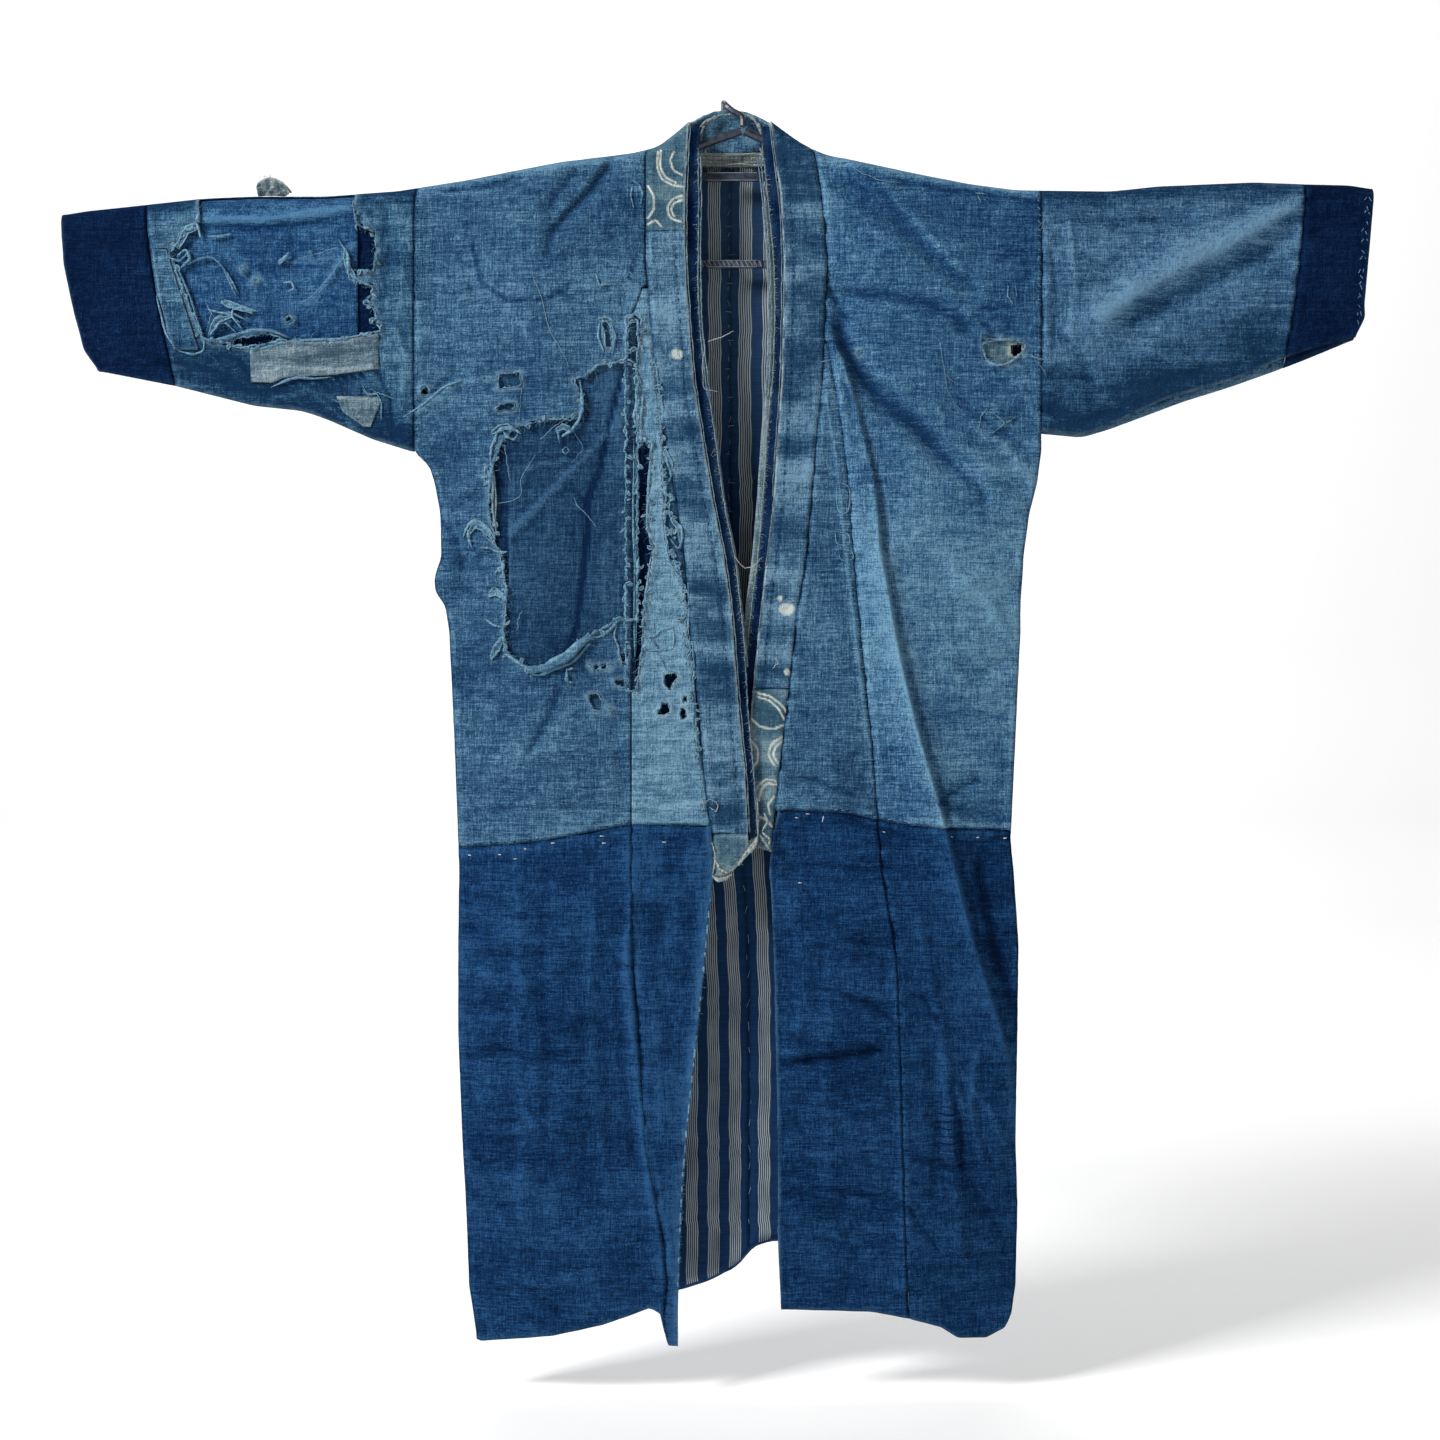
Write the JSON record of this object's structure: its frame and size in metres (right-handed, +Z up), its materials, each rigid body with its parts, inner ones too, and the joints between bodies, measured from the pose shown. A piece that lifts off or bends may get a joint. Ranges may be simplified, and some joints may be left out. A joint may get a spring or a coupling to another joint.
{
  "type": "patched boro robe on hanger",
  "caption": "Calf-length open-fronted boro robe of patched and torn indigo cloth, hung flat on a dark plastic kimono hanger.",
  "frame": {"origin": "the point where the hanger's hook bears on the rail that holds it", "axes": "+X towards the wearer's left sleeve, +Y from the garment's front to its back, +Z up; the front faces -Y"},
  "size_m": [1.3185, 0.0727, 1.2545],
  "materials": {
    "faded": "worn plain-woven cotton",
    "pale": "worn plain-woven cotton",
    "overlap": "worn plain-woven cotton",
    "indigo": "worn plain-woven cotton",
    "navy": "worn plain-woven cotton",
    "middle": "worn plain-woven cotton",
    "khaki": "worn plain-woven cotton",
    "beige": "worn plain-woven cotton",
    "stripe": "worn plain-woven cotton",
    "plastic": "dark satin plastic"
  },
  "bodies": {
    "root": {"front_upper_right": "faded", "front_upper_left": "faded", "back_upper_right": "faded", "back_upper_left": "faded", "collar_right": "faded", "collar_left": "faded", "collar_back": "faded", "sleeve_right_front": "pale", "sleeve_right_back": "pale", "sleeve_left_front": "pale", "sleeve_left_back": "pale", "patch_cuff_side": "pale", "torn_tuft": "pale", "torn_roll": "pale", "overlap_upper_right": "overlap", "overlap_upper_left": "overlap", "front_lower_right": "indigo", "front_lower_left": "indigo", "back_lower_right": "indigo", "back_lower_left": "indigo", "overlap_lower_right": "indigo", "overlap_lower_left": "indigo", "cuff_right_front": "navy", "cuff_right_back": "navy", "cuff_left_front": "navy", "cuff_left_back": "navy", "collar_inner_right": "navy", "collar_inner_left": "navy", "under_overlap_right": "navy", "under_sleeve_deep": "navy", "under_front_right": "middle", "under_sleeve_right": "middle", "collar_right_dyed": "khaki", "collar_right_end": "khaki", "collar_left_dyed": "khaki", "under_armhole_left": "khaki", "neck_strip": "beige", "patch_beige_large": "beige", "patch_beige_small": "beige", "lining_right": "stripe", "lining_left": "stripe", "lining_edge_right": "stripe", "lining_edge_left": "stripe", "hanger_hook": "plastic", "hanger_arm_right": "plastic", "hanger_arm_left": "plastic", "hanger_rod_right": "plastic", "hanger_rod_left": "plastic", "hanger_bar": "plastic", "hanger_ribbed_bar": "plastic", "hanger_strut_right": "plastic", "hanger_strut_left": "plastic"}
  },
  "joints": []
}
